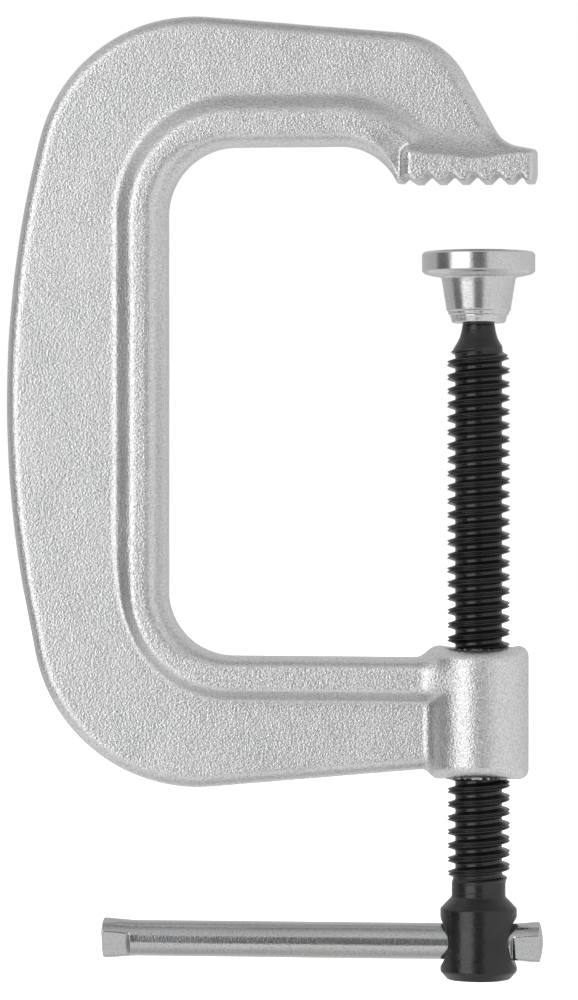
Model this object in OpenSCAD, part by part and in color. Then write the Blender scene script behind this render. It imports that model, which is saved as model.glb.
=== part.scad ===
// Forged C-clamp with a trapezoidal-thread spindle, swivel pad and sliding T-handle.
// Origin: where the spindle axis meets the plane of the jaw's tooth tips.
// +Z runs up the spindle axis, +X points from the throat out past the jaw,
// Y = 0 is the forging's parting plane. All lengths are in millimetres.

/* [Frame] */
// Throat depth, from the spindle axis to the inside of the spine
throat_depth = 90.8; // [84:0.1:96]
// Height of the lower arm's inner edge below the tooth tips, at the spine
throat_drop = 137.1; // [136:0.1:140]
// Height of the upper arm's inner edge above the tooth tips
throat_rise = 11.2; // [10:0.1:12]
// Widest reach of the spine's outline from the spindle axis
spine_reach = 146.2; // [144:0.1:150]
// Thickness of the web, measured across the parting plane
web_t = 10.4; // [8:0.2:13]
// Thickness of the rib along the inner edge
rib_t = 17.6; // [15:0.2:19]
// Width of the rib, from the inner edge towards the outline
rib_w = 13.2; // [10:0.2:15]
// Width of the broken edges of web and rib
edge_break = 1.5; // [0.8:0.1:2]

/* [Jaw] */
// Width of the toothed jaw, across the parting plane
jaw_w = 20; // [18:0.5:26]
// Height of the jaw's side walls above the tooth tips
jaw_h = 7.4; // [6:0.2:9]
// Reach of the jaw past the spindle axis
jaw_nose = 17.2; // [15:0.1:20]
// Spacing of the teeth
tooth_pitch = 6.62; // [6:0.02:6.8]
// Depth of the grooves between the teeth
tooth_depth = 2.3; // [1.5:0.1:2.6]
// Width of a tooth's flat tip
tooth_tip = 2.0; // [1.4:0.1:2.2]

/* [Boss] */
// Radius of the threaded boss
boss_r = 14.55; // [13:0.05:16]
// Height of the boss's top face
boss_top = -134.1; // [-135:0.1:-133]
// Height of the boss's bottom face
boss_bottom = -172.9; // [-174:0.1:-172]
// Corner radius of the boss
boss_round = 3; // [2:0.5:3.5]
// Height of the raised collar round each end of the threaded hole
collar_h = 0.6; // [0.3:0.1:1]

/* [Spindle] */
// Major radius of the screw thread
thread_major_r = 9.1; // [9:0.05:9.15]
// Core radius of the screw thread
thread_core_r = 6.8; // [6.6:0.05:6.85]
// Lead of the single-start thread
thread_pitch = 4; // [4:4]
// Turns of the screw thread
thread_turns = 38.25; // [30.25:1:38.25]
// Side clearance between screw thread and boss thread
thread_gap = 0.25; // [0.2:0.05:0.3]
// Radius of the plain shank below the thread
shank_r = 7.85; // [7.2:0.05:8.2]
// Radius of the hub that carries the handle
hub_r = 11.15; // [10.5:0.05:11.5]
// Height of the hub's end face
hub_bottom = -231; // [-234:0.5:-230]
// Radius of the neck below the ball
neck_r = 4.65; // [4:0.05:4.7]

/* [Swivel pad] */
// Radius of the pad's clamping face
pad_r = 16.5; // [15:0.1:18]
// Height of the pad's clamping face
pad_top = -19.8; // [-20.4:0.1:-19.6]
// Radius of the ball on the spindle's end
ball_r = 6.2; // [5.9:0.1:6.2]
// Radial clearance of the ball in its socket
ball_gap = 0.1; // [0.05:0.01:0.15]

/* [Handle] */
// Radius of the sliding bar
bar_r = 5.28; // [5:0.01:5.3]
// Radial clearance of the bar in the hub's hole
bar_gap = 0.1; // [0.1:0.05:0.3]
// Half height of the bar's flattened ends
swage_r = 5.95; // [5.8:0.05:6.2]
// Half thickness of the bar's flattened ends
swage_t = 4.75; // [4.4:0.05:5]
// Left end of the bar
bar_left = -110.5; // [-120:0.5:-105]
// Right end of the bar
bar_right = 18.7; // [18:0.1:20]

/* [Hidden] */
$fn = 96;

ball_z = -33.8;                 // centre of the ball
split_z = -41;                  // plane where the ball end meets the neck
handle_z = -220.1;              // axis of the sliding bar
thread_z0 = -204.24;            // foot of the helix, which sets its phase
helix_steps = 24;               // steps in one turn of the helix

// ---- rounded outlines -------------------------------------------------

function unit(v) = v / norm(v);

// Points of the arc that rounds corner b of the path a-b-c with radius r
function corner(a, b, c, r) =
    r <= 0 ? [b] :
    let (u = unit(a - b), w = unit(c - b),
         half = acos(u * w) / 2,
         t = r / tan(half),
         cen = b + unit(u + w) * r / sin(half),
         p0 = b + u * t - cen, p1 = b + w * t - cen,
         a0 = atan2(p0[1], p0[0]),
         da = atan2(p0[0] * p1[1] - p0[1] * p1[0], p0 * p1),
         n = max(3, ceil(abs(da) / 9), ceil(r * abs(da) / 600)))
    [for (k = [0 : n]) cen + r * [cos(a0 + da * k / n), sin(a0 + da * k / n)]];

// Closed outline from corner points [x, z, radius]
function outline(v) = [
    for (i = [0 : len(v) - 1])
        let (a = v[(i + len(v) - 1) % len(v)], b = v[i], c = v[(i + 1) % len(v)])
        each corner([a[0], a[1]], [b[0], b[1]], [c[0], c[1]], b[2])];

// The same corners moved sideways by d, to the left of the direction of travel
function shift_line(a, b, d) =
    let (n = unit([-(b[1] - a[1]), b[0] - a[0]])) [a + n * d, b + n * d];
function meet(p, q) =
    let (u = p[1] - p[0], w = q[1] - q[0], k = u[0] * w[1] - u[1] * w[0],
         s = q[0] - p[0])
    p[0] + u * (s[0] * w[1] - s[1] * w[0]) / k;
function moved(v, d, grow) = [
    for (i = [0 : len(v) - 1])
        let (a = v[(i + len(v) - 1) % len(v)], b = v[i], c = v[(i + 1) % len(v)],
             p = meet(shift_line([a[0], a[1]], [b[0], b[1]], d),
                      shift_line([b[0], b[1]], [c[0], c[1]], d)))
        [p[0], p[1], b[2] <= 0 ? 0 : b[2] + d * grow[i]]];

// Outer corners of the forging, anticlockwise seen from the front
outer = [
    [jaw_nose, 2, 0],
    [jaw_nose, 9.8, 1.5],
    [7.15, 11.7, 9.2],
    [-10.25, 43.1, 23.4],
    [-118.9, 53.1, 46.9],
    [-spine_reach, -53.5, 309],
    [-122, -179.6, 48.8],
    [0, -168.7, 0],
    [0, -150, 0],
    [-60, -150, 0],
    [-60, 2, 0]];
// How each outer corner's radius changes when the outline moves inwards
outer_grow = [0, -1, 1, -1, -1, -1, -1, 0, 0, 0, 0];

// Inner corners: the throat, clockwise seen from the front
throat = [
    [1, -137.7, 0],
    [-throat_depth, -throat_drop, 19],
    [-throat_depth, throat_rise, 19.8],
    [-29.4, throat_rise, 18.8],
    [-20.2, -6, 0],
    [1, -6, 0]];
throat_grow = [0, 1, 1, 1, 0, 0];

module slab(t) { rotate([90, 0, 0]) translate([0, 0, -t / 2]) linear_extrude(height = t) children(); }

// The C-shaped area inside the outer corners and outside the throat
module c_area(inset) {
    difference() {
        polygon(outline([for (p = moved([for (i = [0 : 7]) outer[i]], inset,
                                        [for (i = [0 : 7]) outer_grow[i]])) p]));
        polygon(outline(moved(throat, inset, throat_grow)));
        // the space under the jaw and in front of it
        translate([-22, -130]) square([60, 130 + jaw_h - 3]);
    }
}

// The rib that follows the inner edge
module rib_area(inset) {
    intersection() {
        difference() {
            polygon(outline(moved(throat, rib_w - inset, throat_grow)));
            polygon(outline(moved(throat, inset, throat_grow)));
        }
        union() {
            translate([-140, 0]) square([140 - 18, 40]);
            translate([-140, -160]) square([70, 200]);
            translate([-140, -160]) square([140 - 8, 30]);
        }
    }
}

// Side profile of the toothed jaw
jaw_left = -22.9;
first_tip = -17.2;
teeth = 5;
half_gap = (tooth_pitch - tooth_tip) / 2;
jaw_profile = concat(
    [[jaw_left + 1.2, 0], [jaw_left - 0.2, 1.2], [jaw_left, jaw_h - 1], [jaw_left + 1.6, jaw_h]],
    [[jaw_nose - 1.2, jaw_h], [jaw_nose, jaw_h - 1.2], [jaw_nose, 1.2], [jaw_nose - 1.2, 0]],
    [for (k = [teeth - 1 : -1 : 0])
        let (x = first_tip + k * tooth_pitch)
        each [[x + tooth_tip / 2 + 2 * half_gap, 0],
              [x + tooth_tip / 2 + half_gap, tooth_depth],
              [x + tooth_tip / 2, 0], [x - tooth_tip / 2, 0]]],
    [[first_tip - tooth_tip / 2 - half_gap, tooth_depth]]);

// ---- screw thread -----------------------------------------------------

// One solid threaded rod. Its ridge runs on a right-handed helix from z0 and
// fades out at both ends; zb and zt are the rod's flat ends.
module threaded(z0, turns, core, crest, crest_w, root_w, fade, zb, zt) {
    n = helix_steps;
    s = round(turns * n);
    flank = (thread_pitch - crest_w - root_w) / 2;
    rise = [root_w / 2, root_w / 2 + flank, root_w / 2 + flank + crest_w, thread_pitch - root_w / 2];
    function base(i) = z0 + thread_pitch * i / n;
    function full(i) = min(1, i / fade, (s - i) / fade);
    function pt(i, k) = let (r = (k == 1 || k == 2) ? core + (crest - core) * full(i) : core)
        [r * cos(360 * i / n), r * sin(360 * i / n), base(i) + rise[k]];
    strip = [for (i = [0 : s]) for (k = [0 : 3]) pt(i, k)];
    tail = [for (i = [s + 1 : s + n]) pt(i, 0)];
    foot = [for (j = [0 : n - 1]) [core * cos(360 * j / n), core * sin(360 * j / n), zb]];
    head = [for (j = [0 : n - 1]) [core * cos(360 * (s + j) / n), core * sin(360 * (s + j) / n), zt]];
    t0 = 4 * (s + 1);
    b0 = t0 + n;
    h0 = b0 + n;
    function id(i, k) = k == 4 ? id(i + n, 0) : i <= s ? 4 * i + k : t0 + i - s - 1;
    faces = concat(
        [for (i = [0 : s - 1]) for (k = [0 : 3]) each [
            [id(i, k), id(i, k + 1), id(i + 1, k + 1)],
            [id(i, k), id(i + 1, k + 1), id(i + 1, k)]]],
        [for (j = [0 : n - 2]) each [
            [b0 + j, id(j, 0), id(j + 1, 0)],
            [b0 + j, id(j + 1, 0), b0 + j + 1]]],
        let (q = id(n - 1, 0), ring = [b0 + n - 1, b0, id(0, 0), id(0, 1), id(0, 2), id(0, 3), id(n, 0)])
        [for (k = [0 : len(ring) - 2]) [q, ring[k + 1], ring[k]]],
        [for (j = [1 : n - 1]) each [
            [id(s + j, 0), h0 + j, h0 + (j + 1) % n],
            [id(s + j, 0), h0 + (j + 1) % n, id(s + j + 1, 0)]]],
        let (q = id(s + 1, 0), ring = [h0 + 1, h0, id(s + n, 0), id(s, 3), id(s, 2), id(s, 1), id(s, 0)])
        [for (k = [0 : len(ring) - 2]) [q, ring[k + 1], ring[k]]],
        [[for (j = [0 : n - 1]) b0 + j]],
        [[for (j = [n - 1 : -1 : 0]) h0 + j]]);
    polyhedron(points = concat(strip, tail, foot, head), faces = faces);
}

crest_width = 1.4;
flank_width = (thread_major_r - thread_core_r) * tan(15);
nut_r = 7.15;                                    // hole through the boss's thread
nut_core = nut_r - 0.25;
nut_crest_r = thread_major_r + thread_gap;
nut_crest_w = crest_width + 2 * thread_gap;
nut_root_w = thread_pitch - nut_crest_w - 2 * (nut_crest_r - nut_core) * tan(15);

// ---- pieces -----------------------------------------------------------

module boss() {
    rotate_extrude()
        polygon(concat(
            [[0, boss_bottom], [boss_r - boss_round, boss_bottom]],
            [for (a = [-75 : 15 : 0]) [boss_r - boss_round + boss_round * cos(a), boss_bottom + boss_round + boss_round * sin(a)]],
            [for (a = [0 : 15 : 75]) [boss_r - boss_round + boss_round * cos(a), boss_top - boss_round + boss_round * sin(a)]],
            [[boss_r - boss_round, boss_top], [0, boss_top]]));
}

module collar(z) { translate([0, 0, z]) cylinder(r = 10.2, h = 2 * collar_h, center = true); }

module frame() {
    color([0.80, 0.81, 0.82])
    difference() {
        union() {
            slab(web_t) c_area(edge_break);
            slab(web_t - 2 * edge_break) c_area(0);
            slab(rib_t) rib_area(edge_break);
            slab(rib_t - 2 * edge_break) rib_area(0);
            slab(jaw_w) polygon(jaw_profile);
            boss();
            collar(boss_top);
            collar(boss_bottom);
        }
        translate([0, 0, boss_bottom - 5]) cylinder(r = nut_r, h = boss_top - boss_bottom + 10);
        threaded(-180.24, 12.5, nut_core, nut_crest_r, nut_crest_w, nut_root_w, 12, -182, -122);
        translate([0, 0, boss_top + collar_h - 2.3]) cylinder(r1 = nut_r, r2 = nut_r + 2.5, h = 2.5);
        translate([0, 0, boss_bottom - collar_h - 0.2]) cylinder(r1 = nut_r + 2.5, r2 = nut_r, h = 2.5);
    }
}

module spindle() {
    color([0.12, 0.12, 0.13])
    difference() {
        union() {
            threaded(thread_z0, thread_turns, thread_core_r, thread_major_r, crest_width,
                     thread_pitch - crest_width - 2 * flank_width, 20, -205.4,
                     thread_z0 + (thread_turns + 1) * thread_pitch + 1.2);
            // neck with its concave flare
            rotate_extrude() polygon(concat(
                [[0, -48], [thread_core_r - 0.1, -48], [thread_core_r - 0.1, -47.0]],
                [for (k = [0 : 6]) let (t = k / 6)
                    [neck_r + (thread_core_r - 0.4 - neck_r) * pow(1 - t, 2.2), -46.4 + t * (split_z + 46.4)]],
                [[0, split_z]]));
            // shank, shoulder cone, hub and end chamfer
            rotate_extrude() polygon([
                [0, hub_bottom], [hub_r - 2.1, hub_bottom], [hub_r, hub_bottom + 2.4],
                [hub_r, -210.4], [shank_r, -206.9], [shank_r, -202.6], [shank_r - 1, -201.6],
                [0, -201.6]]);
        }
        // cross hole for the handle, with a countersunk mouth on each side
        translate([0, 0, handle_z]) rotate([0, 90, 0]) {
            cylinder(r = bar_r + bar_gap, h = 40, center = true);
            for (side = [0, 180]) rotate([side, 0, 0])
                translate([0, 0, 7.9]) cylinder(r1 = bar_r + bar_gap, r2 = bar_r + bar_gap + 4, h = 4);
        }
    }
}

module ball_end() {
    color([0.12, 0.12, 0.13])
    union() {
        translate([0, 0, ball_z]) sphere(r = ball_r);
        translate([0, 0, split_z]) cylinder(r = neck_r, h = ball_z - split_z);
    }
}

module swivel_pad() {
    color([0.78, 0.79, 0.80])
    difference() {
        rotate_extrude() polygon([
            [0, pad_top], [pad_r - 0.5, pad_top], [pad_r, pad_top - 0.5],
            [pad_r, -25.2], [pad_r - 1.0, -26.0], [11.1, -27.1],
            [10.75, -27.9], [9.45, -36.7], [8.7, -37.2],
            [8.5, -38.6], [7.95, -40.1], [7.6, -40.4], [0, -40.4]]);
        translate([0, 0, ball_z]) sphere(r = ball_r + ball_gap);
        translate([0, 0, -41]) cylinder(r = 5.5, h = 41 + ball_z - 3.0);
    }
}

// One flattened end of the bar, with its outer face at x = 0 and the bar towards -X
module bar_end() {
    intersection() {
        rotate([0, 90, 0]) rotate_extrude() polygon([
            [0, -12], [bar_r, -12], [bar_r, -11.1], [swage_r - 0.15, -9.1], [swage_r, -1.2],
            [swage_r - 1.1, 0], [0, 0]]);
        union() {
            translate([-9.6, -swage_t, -8]) cube([10, 2 * swage_t, 16]);
            translate([-13, -8, -8]) cube([3.6, 16, 16]);
        }
    }
}

module slide_handle() {
    color([0.70, 0.71, 0.72])
    translate([0, 0, handle_z]) union() {
        translate([bar_left + 11.5, 0, 0]) rotate([0, 90, 0])
            cylinder(r = bar_r, h = bar_right - bar_left - 23);
        translate([bar_right, 0, 0]) bar_end();
        translate([bar_left, 0, 0]) mirror([1, 0, 0]) bar_end();
    }
}

frame();
spindle();
ball_end();
swivel_pad();
slide_handle();
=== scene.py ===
import math
import time

import bpy
import bmesh
import numpy as np
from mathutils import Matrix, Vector


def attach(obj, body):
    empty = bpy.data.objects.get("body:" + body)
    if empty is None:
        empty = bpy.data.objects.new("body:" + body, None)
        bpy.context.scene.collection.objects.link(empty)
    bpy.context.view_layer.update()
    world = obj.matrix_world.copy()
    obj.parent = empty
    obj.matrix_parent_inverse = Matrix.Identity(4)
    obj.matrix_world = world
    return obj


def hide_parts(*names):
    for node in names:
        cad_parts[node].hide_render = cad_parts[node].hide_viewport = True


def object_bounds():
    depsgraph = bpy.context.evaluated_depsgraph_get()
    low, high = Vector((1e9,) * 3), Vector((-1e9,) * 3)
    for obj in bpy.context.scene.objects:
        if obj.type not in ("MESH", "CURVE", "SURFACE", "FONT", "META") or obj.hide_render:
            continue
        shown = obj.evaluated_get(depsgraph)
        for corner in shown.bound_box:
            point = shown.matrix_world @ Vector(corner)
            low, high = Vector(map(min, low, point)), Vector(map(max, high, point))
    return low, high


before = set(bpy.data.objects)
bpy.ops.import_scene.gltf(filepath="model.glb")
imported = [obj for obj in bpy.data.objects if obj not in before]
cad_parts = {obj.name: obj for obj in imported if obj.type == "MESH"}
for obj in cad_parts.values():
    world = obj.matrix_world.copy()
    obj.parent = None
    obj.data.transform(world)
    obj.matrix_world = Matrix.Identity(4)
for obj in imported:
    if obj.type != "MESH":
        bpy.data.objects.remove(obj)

T0 = time.time()
cad_box = [[float(v) for v in c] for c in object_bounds()]
MM = 0.001
D2R = math.pi / 180


# ---------------------------------------------------------------- camera ----
# The view is level, 6 degrees round towards the clamp's open side.
YAW = 6.0 * D2R
CAM_DIST = 1.200
AIM = Vector((-0.05539, 0.0, -0.09183))
cam_data = bpy.data.cameras.new("view")
cam_data.sensor_width = 36.0
cam_data.lens = 147.98
cam_data.clip_start = 0.05
cam_data.clip_end = 20.0
cam = bpy.data.objects.new("view", cam_data)
cam.location = AIM + Vector((math.sin(YAW), -math.cos(YAW), 0.0)) * CAM_DIST
cam.rotation_euler = (math.pi / 2, 0.0, YAW)
bpy.context.scene.collection.objects.link(cam)
bpy.context.scene.camera = cam


# ---------------------------------------------------------- small helpers ----
def smooth(a, b, v):
    t = np.clip((v - a) / (b - a), 0.0, 1.0)
    return t * t * (3 - 2 * t)


def round_max(a, b, r):
    """Intersection of two solids with a round edge of radius r."""
    return np.minimum(-r, np.maximum(a, b)) + np.hypot(np.maximum(r + a, 0), np.maximum(r + b, 0))


def round_min(a, b, r):
    """Union of two solids with a round fillet of radius r."""
    return np.maximum(r, np.minimum(a, b)) - np.hypot(np.maximum(r - a, 0), np.maximum(r - b, 0))


def waves(p, seed, length, count=28):
    """Smooth random field from many plane waves of about one wavelength; about -1 to 1."""
    rng = np.random.default_rng(seed)
    d = rng.normal(size=(count, 3))
    d /= np.linalg.norm(d, axis=1)[:, None]
    k = 2 * math.pi / (length * rng.uniform(0.65, 1.5, count))
    ph = rng.uniform(0, 2 * math.pi, count)
    out = np.zeros(len(p))
    for i in range(count):
        out += np.sin((p @ d[i]) * k[i] + ph[i])
    return out / math.sqrt(count / 2) / 1.6


def outline(corners, step=1.2):
    """Closed outline through corner points (x, z, radius)."""
    pts = []
    n = len(corners)
    for i in range(n):
        a = np.array(corners[i - 1][:2], float)
        b = np.array(corners[i][:2], float)
        c = np.array(corners[(i + 1) % n][:2], float)
        r = corners[i][2]
        if r <= 0:
            pts.append(b)
            continue
        u = (a - b) / np.linalg.norm(a - b)
        w = (c - b) / np.linalg.norm(c - b)
        half = math.acos(max(-1, min(1, float(u @ w)))) / 2
        t = r / math.tan(half)
        m = (u + w) / np.linalg.norm(u + w)
        cen = b + m * r / math.sin(half)
        p0, p1 = b + u * t - cen, b + w * t - cen
        a0 = math.atan2(p0[1], p0[0])
        da = math.atan2(p0[0] * p1[1] - p0[1] * p1[0], float(p0 @ p1))
        k = max(4, int(abs(da) * r / step) + 1, int(abs(da) / 0.12) + 1)
        for j in range(k + 1):
            th = a0 + da * j / k
            pts.append(cen + r * np.array([math.cos(th), math.sin(th)]))
    return np.array(pts)


def signed_distance(poly, px, pz):
    """Signed distance to a closed polygon, negative inside."""
    ax, az = poly[:, 0], poly[:, 1]
    bx, bz = np.roll(ax, -1), np.roll(az, -1)
    best = np.full(px.shape, 1e18)
    inside = np.zeros(px.shape, bool)
    for i in range(len(poly)):
        dx, dz = bx[i] - ax[i], bz[i] - az[i]
        ll = dx * dx + dz * dz
        if ll < 1e-12:
            continue
        qx, qz = px - ax[i], pz - az[i]
        t = np.clip((qx * dx + qz * dz) / ll, 0, 1)
        d = (qx - t * dx) ** 2 + (qz - t * dz) ** 2
        np.minimum(best, d, out=best)
        if dz != 0:
            hit = (pz < az[i]) != (pz < bz[i])
            inside ^= hit & (px < ax[i] + dx * (pz - az[i]) / dz)
    d = np.sqrt(best)
    return np.where(inside, -d, d)


class Field:
    """A 2-D table with smooth cubic interpolation."""

    def __init__(self, x0, x1, z0, z1, step, fill):
        self.x0, self.z0, self.h = x0, z0, step
        xs = np.arange(x0, x1 + step, step)
        zs = np.arange(z0, z1 + step, step)
        gx, gz = np.meshgrid(xs, zs, indexing="ij")
        self.v = fill(gx, gz)

    def __call__(self, x, z):
        u = np.clip((x - self.x0) / self.h, 1.0, self.v.shape[0] - 3.001)
        w = np.clip((z - self.z0) / self.h, 1.0, self.v.shape[1] - 3.001)
        i, j = u.astype(int), w.astype(int)
        fu, fw = u - i, w - j

        def weights(t):
            t2, t3 = t * t, t * t * t
            return (-0.5 * t + t2 - 0.5 * t3, 1 - 2.5 * t2 + 1.5 * t3,
                    0.5 * t + 2 * t2 - 1.5 * t3, -0.5 * t2 + 0.5 * t3)

        wu, ww = weights(fu), weights(fw)
        out = 0
        for a in range(4):
            row = 0
            for b in range(4):
                row = row + ww[b] * self.v[i + a - 1, j + b - 1]
            out = out + wu[a] * row
        return out


def surface_nets(F, xs, ys, zs):
    """Quad mesh of the F = 0 surface on a rectilinear grid; F is negative inside."""
    inside = F < 0
    nx, ny, nz = F.shape
    mixed = np.zeros((nx - 1, ny - 1, nz - 1), np.int8)
    for dx in (0, 1):
        for dy in (0, 1):
            for dz in (0, 1):
                mixed += inside[dx:nx - 1 + dx, dy:ny - 1 + dy, dz:nz - 1 + dz]
    active = (mixed > 0) & (mixed < 8)
    ci, cj, ck = np.nonzero(active)
    ids = np.full(active.shape, -1, np.int64)
    ids[ci, cj, ck] = np.arange(len(ci))
    total = np.zeros((len(ci), 3))
    hits = np.zeros(len(ci))
    corner = [(a, b, c) for a in (0, 1) for b in (0, 1) for c in (0, 1)]
    for p in corner:
        for axis in range(3):
            if p[axis]:
                continue
            q = list(p)
            q[axis] = 1
            fa = F[ci + p[0], cj + p[1], ck + p[2]]
            fb = F[ci + q[0], cj + q[1], ck + q[2]]
            cross = (fa < 0) != (fb < 0)
            t = np.where(cross, fa / np.where(fa == fb, 1, fa - fb), 0)
            pa = np.stack([xs[ci + p[0]], ys[cj + p[1]], zs[ck + p[2]]], 1)
            pb = np.stack([xs[ci + q[0]], ys[cj + q[1]], zs[ck + q[2]]], 1)
            total += np.where(cross[:, None], pa + (pb - pa) * t[:, None], 0)
            hits += cross
    verts = total / hits[:, None]
    quads = []
    for axis in range(3):
        a = [slice(None)] * 3
        b = [slice(None)] * 3
        a[axis], b[axis] = slice(0, -1), slice(1, None)
        sa, sb = inside[tuple(a)], inside[tuple(b)]
        change = sa != sb
        i, j, k = np.nonzero(change)
        idx = [i, j, k]
        o1, o2 = [(1, 2), (2, 0), (0, 1)][axis]
        ok = (idx[o1] > 0) & (idx[o2] > 0) & (idx[o1] < F.shape[o1] - 1) & (idx[o2] < F.shape[o2] - 1)
        idx = [v[ok] for v in idx]
        flip = ~sa[idx[0], idx[1], idx[2]]

        def cell(d1, d2):
            c = [v.copy() for v in idx]
            c[o1] -= d1
            c[o2] -= d2
            return ids[c[0], c[1], c[2]]

        q = np.stack([cell(1, 1), cell(0, 1), cell(0, 0), cell(1, 0)], 1)
        q[flip] = q[flip][:, ::-1]
        quads.append(q)
    quads = np.concatenate(quads)
    return verts, quads


def gradient(f, p, h=0.06):
    g = np.empty_like(p)
    for a in range(3):
        d = np.zeros(3)
        d[a] = h
        g[:, a] = (f(p + d) - f(p - d)) / (2 * h)
    return g


def settle(f, p, quads, rounds=3, relax=0.5):
    """Moves mesh points onto f = 0 and evens them out along the surface."""
    n = len(p)
    e = np.concatenate([quads[:, [0, 1]], quads[:, [1, 2]], quads[:, [2, 3]], quads[:, [3, 0]]])
    e = np.concatenate([e, e[:, ::-1]])
    count = np.bincount(e[:, 0], minlength=n)[:, None]
    for r in range(rounds):
        g = gradient(f, p)
        gg = (g * g).sum(1)
        move = -(f(p) / np.maximum(gg, 0.05))[:, None] * g
        size = np.linalg.norm(move, axis=1)
        p = p + move * np.minimum(1, 0.5 / np.maximum(size, 1e-9))[:, None]
        if r < rounds - 1 and relax:
            mean = np.stack([np.bincount(e[:, 0], p[e[:, 1], a], minlength=n) for a in range(3)], 1) / count
            nrm = g / np.sqrt(np.maximum(gg, 1e-9))[:, None]
            d = mean - p
            d -= (d * nrm).sum(1)[:, None] * nrm
            p = p + d * relax
    g = gradient(f, p)
    return p, g / np.linalg.norm(g, axis=1)[:, None]


def make_mesh(name, verts_mm, faces, normals=None, smooth_shade=True):
    me = bpy.data.meshes.new(name)
    verts = np.asarray(verts_mm, float) * MM
    faces = np.asarray(faces, np.int32) if not isinstance(faces, list) else faces
    if isinstance(faces, np.ndarray):
        n, k = faces.shape
        me.vertices.add(len(verts))
        me.vertices.foreach_set("co", verts.astype(np.float32).ravel())
        me.loops.add(n * k)
        me.loops.foreach_set("vertex_index", faces.ravel().astype(np.int32))
        me.polygons.add(n)
        me.polygons.foreach_set("loop_start", np.arange(0, n * k, k, dtype=np.int32))
        me.update(calc_edges=True)
    else:
        me.from_pydata([tuple(v) for v in verts], [], faces)
    me.validate()
    if smooth_shade:
        me.polygons.foreach_set("use_smooth", np.ones(len(me.polygons), bool))
    if normals is not None and len(me.vertices) == len(verts):
        me.normals_split_custom_set_from_vertices([tuple(v) for v in normals])
    me.update()
    ob = bpy.data.objects.new(name, me)
    bpy.context.scene.collection.objects.link(ob)
    return ob


def lathe(name, prof, segs=192, centre=(0.0, 0.0)):
    """Solid of revolution about +Z; prof is (r, z) from one end on the axis to the other."""
    prof = np.array(prof, float)
    ang = np.arange(segs) * 2 * math.pi / segs
    verts, rows = [], []
    for r, z in prof:
        if r < 1e-6:
            rows.append([len(verts)])
            verts.append((centre[0], centre[1], z))
        else:
            rows.append(list(range(len(verts), len(verts) + segs)))
            verts.extend(zip(centre[0] + r * np.cos(ang), centre[1] + r * np.sin(ang), [z] * segs))
    faces = []
    for a, b in zip(rows[:-1], rows[1:]):
        for j in range(segs):
            k = (j + 1) % segs
            if len(a) == 1 and len(b) == 1:
                continue
            if len(a) == 1:
                faces.append((a[0], b[k], b[j]))
            elif len(b) == 1:
                faces.append((a[j], a[k], b[0]))
            else:
                faces.append((a[j], a[k], b[k], b[j]))
    return verts, faces


def fillet_profile(corners, seg=0.12):
    """Open (r, z) profile with rounded corners from (r, z, radius)."""
    out = [np.array(corners[0][:2], float)]
    for i in range(1, len(corners) - 1):
        a = np.array(corners[i - 1][:2], float)
        b = np.array(corners[i][:2], float)
        c = np.array(corners[i + 1][:2], float)
        r = corners[i][2]
        if r <= 0:
            out.append(b)
            continue
        u = (a - b) / np.linalg.norm(a - b)
        w = (c - b) / np.linalg.norm(c - b)
        half = math.acos(max(-1, min(1, float(u @ w)))) / 2
        if abs(half - math.pi / 2) < 1e-3:
            out.append(b)
            continue
        t = r / math.tan(half)
        m = (u + w) / np.linalg.norm(u + w)
        cen = b + m * r / math.sin(half)
        p0, p1 = b + u * t - cen, b + w * t - cen
        a0 = math.atan2(p0[1], p0[0])
        da = math.atan2(p0[0] * p1[1] - p0[1] * p1[0], float(p0 @ p1))
        k = max(3, int(abs(da) * r / seg) + 1)
        for j in range(k + 1):
            th = a0 + da * j / k
            out.append(cen + r * np.array([math.cos(th), math.sin(th)]))
    out.append(np.array(corners[-1][:2], float))
    return out


def densify(prof, step):
    out = [prof[0]]
    for a, b in zip(prof[:-1], prof[1:]):
        n = max(1, int(math.ceil(np.linalg.norm(np.subtract(b, a)) / step)))
        for k in range(1, n + 1):
            out.append(a + (b - a) * k / n)
    return out


# ------------------------------------------------------------ the forging ----
WEB, RIB, JAW = 5.2, 8.8, 9.8           # half thicknesses
BOSS_R, BOSS_TOP, BOSS_BOT = 14.55, -134.1, -172.9
BOSS_C, BOSS_H = (BOSS_TOP + BOSS_BOT) / 2, (BOSS_TOP - BOSS_BOT) / 2
PITCH = 4.0

OUTER = [(17.2, -3, 0), (17.2, 9.8, 1.6), (7.15, 11.7, 9.2), (-10.25, 43.1, 23.4),
         (-118.9, 53.15, 46.9), (-146.2, -53.5, 309), (-122, -179.6, 48.8), (0, -168.7, 0), (0, -3, 0)]
THROAT = [(30, -137.75, 0), (-90.8, -137.1, 19), (-90.8, 11.2, 19.8), (-29.4, 11.2, 18.8), (-20.2, -6, 0), (30, -6, 0)]
# lower edge of the jaw: the rib's small end tooth, five teeth and the nose
teeth = []
TIP, TOOTH, GROOVE = 1.9, 6.62, 2.35
teeth += [(-23.55, 0.35, 0.5), (-22.0, 0.25, 0.4), (-20.5, 1.75, 0.45)]
for kk in range(5):
    tx = -17.2 + TOOTH * kk
    teeth += [(tx - TIP / 2, 0, 0.35), (tx + TIP / 2, 0, 0.35), (tx + TOOTH / 2, GROOVE, 0.55)]
teeth += [(13.9, 0.05, 0.5), (16.3, 0.05, 1.0), (17.6, 2.2, 1.2), (30, 2.3, 0)]
CUT = [(30, -137.75, 0), (-90.8, -137.1, 19), (-90.8, 11.2, 19.8), (-29.4, 11.2, 18.8)] + teeth

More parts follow.
